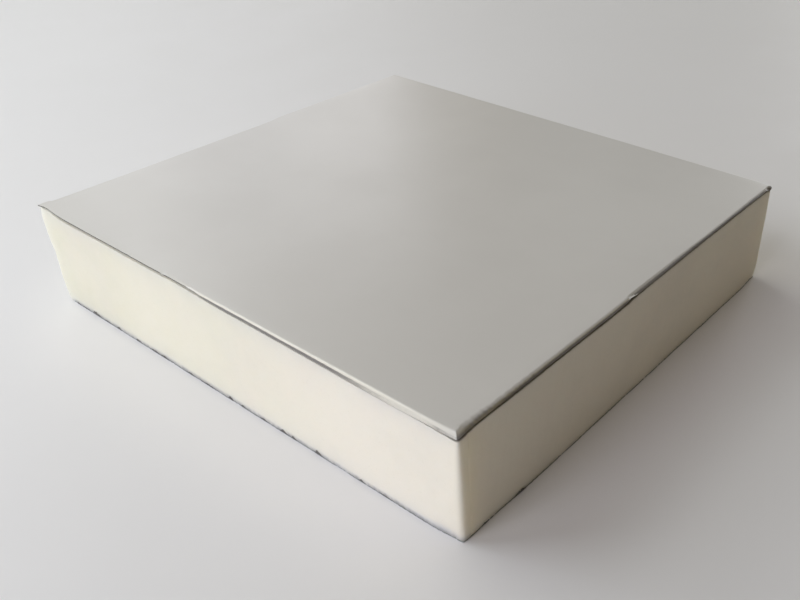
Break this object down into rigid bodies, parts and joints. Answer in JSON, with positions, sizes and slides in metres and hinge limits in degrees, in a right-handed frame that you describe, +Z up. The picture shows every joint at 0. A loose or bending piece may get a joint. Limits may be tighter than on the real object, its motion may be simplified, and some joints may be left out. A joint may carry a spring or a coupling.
{
  "type": "insulated sandwich panel sample",
  "caption": "Flat square-cut piece of insulated sandwich panel: painted steel facings bonded to a rigid foam core, upper sheet drawn down over the core along the sheared edges.",
  "frame": {"origin": "middle of the underside of the lower facing, on the surface that the panel lies on", "axes": "+X along the length towards the sheared edge with the tear, +Y along the width away from the drawn-down front edge, +Z up through the thickness towards the outer facing"},
  "size_m": [0.25, 0.23, 0.05],
  "materials": {
    "outer_paint": "satin",
    "rigid_foam": "matte",
    "inner_paint": "satin"
  },
  "bodies": {
    "root": {"outer_facing": "outer_paint", "foam_core": "rigid_foam", "inner_facing": "inner_paint"}
  },
  "joints": []
}
